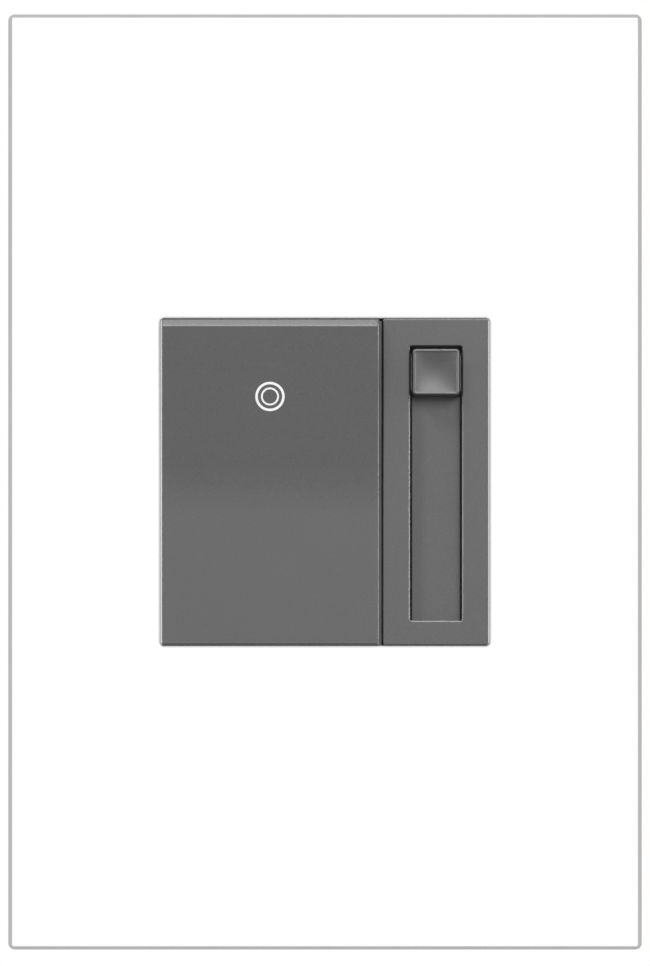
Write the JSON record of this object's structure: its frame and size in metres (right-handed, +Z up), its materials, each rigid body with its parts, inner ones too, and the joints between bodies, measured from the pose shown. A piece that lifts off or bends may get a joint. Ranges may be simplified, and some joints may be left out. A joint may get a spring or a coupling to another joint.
{
  "type": "dimmer slide switch",
  "caption": "Wall dimmer: a tall rocker paddle with a ring mark beside a small slider in a slot, square face in an upright wall plate, metal strap and deep case behind.",
  "frame": {"origin": "midway between the two box screws, on the wall plane at the strap's back", "axes": "+X right seen from the front, +Y into the wall, +Z up"},
  "size_m": [0.0882, 0.0402, 0.1302],
  "materials": {
    "plate_white": "satin white moulded thermoplastic",
    "frame_plastic": "plain dark grey moulded",
    "face_paint": "moulded, with satin mid-grey metallic paint",
    "track_plastic": "satin mid-grey moulded",
    "lens_white": "translucent white moulded",
    "black_plastic": "fine-grained black moulded",
    "case_plastic": "glass-filled dark grey moulded",
    "nylon": "natural nylon",
    "fibre": "pressed red-brown fibre",
    "strap_alu": "stamped, clear anodised",
    "zinc_steel": "bright zinc plated",
    "green_steel": "green dyed zinc plate",
    "spring_steel": "drawn spring wire and strip",
    "tinned": "tin plated",
    "brass": "stamped brass",
    "copper": "enamelled copper wire",
    "iron_powder": "yellow coated pressed iron powder",
    "phenolic": "phenolic paper sheet",
    "carbon": "printed carbon",
    "clear": "clear polycarbonate",
    "board_green": "glass epoxy board with green mask",
    "epoxy": "moulded epoxy",
    "silicone": "grey silicone sheet",
    "film_yellow": "moulded yellow case",
    "sleeve": "dark shrink sleeve",
    "fuse_metal": "nickel plated caps on a ceramic tube",
    "varistor_blue": "dipped blue epoxy",
    "resistor_beige": "lacquered"
  },
  "bodies": {
    "housing": {"wall_plate": "plate_white", "plate_frame": "frame_plastic", "frame_screws": "zinc_steel", "mounting_strap": "strap_alu", "box_screws": "zinc_steel", "screw_retainers": "fibre", "ground_screw": "green_steel", "chassis": "black_plastic", "hinge_pin": "spring_steel", "paddle_springs": "spring_steel", "slider_panel": "face_paint", "slider_track": "track_plastic", "pot_can": "tinned", "pot_board": "phenolic", "pot_tracks": "carbon", "pot_pins": "tinned", "switch_housing": "black_plastic", "fixed_contacts": "brass", "switch_spring": "spring_steel", "light_pipe": "clear", "locator_led": "clear", "main_board": "board_green", "triac_tab": "tinned", "triac_body": "epoxy", "triac_leads": "tinned", "insulator_pad": "silicone", "triac_screw": "zinc_steel", "choke_core": "iron_powder", "choke_winding": "copper", "film_capacitor": "film_yellow", "bulk_capacitor": "sleeve", "fuse": "fuse_metal", "varistor": "varistor_blue", "control_chip": "epoxy", "chip_legs": "tinned", "resistors": "resistor_beige", "component_leads": "tinned", "back_cover": "case_plastic", "terminal_plates": "brass", "terminal_screws": "zinc_steel", "case_screws": "zinc_steel"},
    "paddle": {"paddle": "face_paint", "icon_lens": "lens_white", "icon_islands": "face_paint"},
    "plunger": {"switch_plunger": "nylon", "moving_contact": "brass"},
    "slider": {"slider_knob": "face_paint", "slider_carriage": "spring_steel", "pot_shuttle": "nylon", "pot_wiper": "brass"}
  },
  "joints": [
    {"name": "paddle_press", "type": "hinge", "parent": "housing", "child": "paddle", "pos_m": [-0.0076, -0.0056, -0.0199], "axis": [-1, 0, 0], "range_deg": [0, 2.5], "stiffness_Nm_per_rad": 1.5, "springref_deg": -2.29, "deforming": ["paddle_springs"]},
    {"name": "switch_press", "type": "slide", "parent": "housing", "child": "plunger", "axis": [0, 1, 0], "range_m": [0, 0.00105], "deforming": ["switch_spring"]},
    {"name": "slider_travel", "type": "slide", "parent": "housing", "child": "slider", "axis": [0, 0, -1], "range_m": [0, 0.0307]}
  ],
  "couplings": [
    {"joint": "switch_press", "follows": "paddle_press", "m_per_rad": 0.023892}
  ]
}
